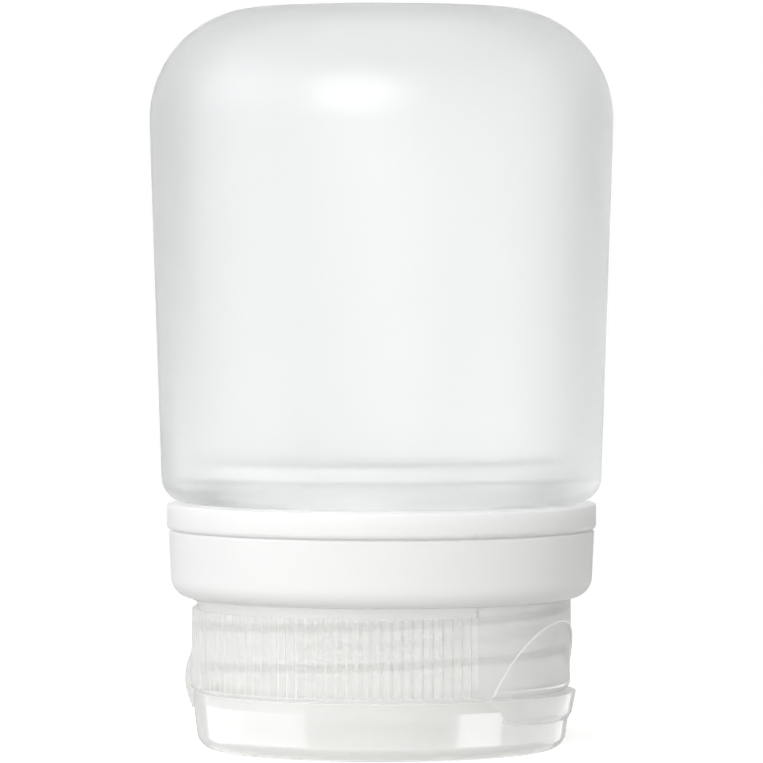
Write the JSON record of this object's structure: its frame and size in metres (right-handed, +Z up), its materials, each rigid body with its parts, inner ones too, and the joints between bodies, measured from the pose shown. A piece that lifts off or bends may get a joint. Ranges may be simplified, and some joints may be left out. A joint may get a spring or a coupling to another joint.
{
  "type": "travel silicone bottle",
  "caption": "Small soft silicone squeeze bottle standing on its closed flip-top screw cap, with a white collar, a turning marker ring and a no-drip valve.",
  "frame": {"origin": "centre of the closed lid's flat outer face, on the bottle's axis, where the bottle stands", "axes": "+Z up along the bottle's axis towards its base, +X towards the lid's thumb tab, the living hinge at -X"},
  "size_m": [0.04, 0.04, 0.0638],
  "materials": {
    "silicone": "translucent milky silicone, soft satin",
    "neck_plastic": "natural translucent polypropylene, satin",
    "white_plastic": "opaque white, satin",
    "clear_plastic": "natural translucent polypropylene, glossy",
    "soft_seal": "translucent silicone"
  },
  "bodies": {
    "cap": {"cap": "clear_plastic", "valve": "soft_seal", "valve_retainer": "neck_plastic", "hinge_strap": "clear_plastic"},
    "lid": {"lid": "clear_plastic"},
    "seal": {"cap_seal": "soft_seal"},
    "bottle": {"bottle_body": "silicone", "neck_insert": "neck_plastic", "collar": "white_plastic"},
    "ring": {"marker_ring": "white_plastic"}
  },
  "joints": [
    {"name": "lid_hinge", "type": "hinge", "parent": "cap", "child": "lid", "pos_m": [-0.01694, 0, 0.0057], "axis": [0, 1, 0], "range_deg": [0, 180], "deforming": ["hinge_strap"]},
    {"name": "bottle_lift", "type": "slide", "parent": "cap", "child": "seal", "axis": [0, 0, 1], "range_m": [0, 0.0085]},
    {"name": "bottle_turn", "type": "hinge", "parent": "seal", "child": "bottle", "pos_m": [0, 0, 0.0057], "axis": [0, 0, 1], "range_deg": [0, 900]},
    {"name": "ring_turn", "type": "hinge", "parent": "bottle", "child": "ring", "pos_m": [0, 0, 0.0201], "axis": [0, 0, 1], "continuous": true}
  ],
  "couplings": [
    {"joint": "bottle_lift", "follows": "bottle_turn", "m_per_rad": 0.00054112}
  ]
}
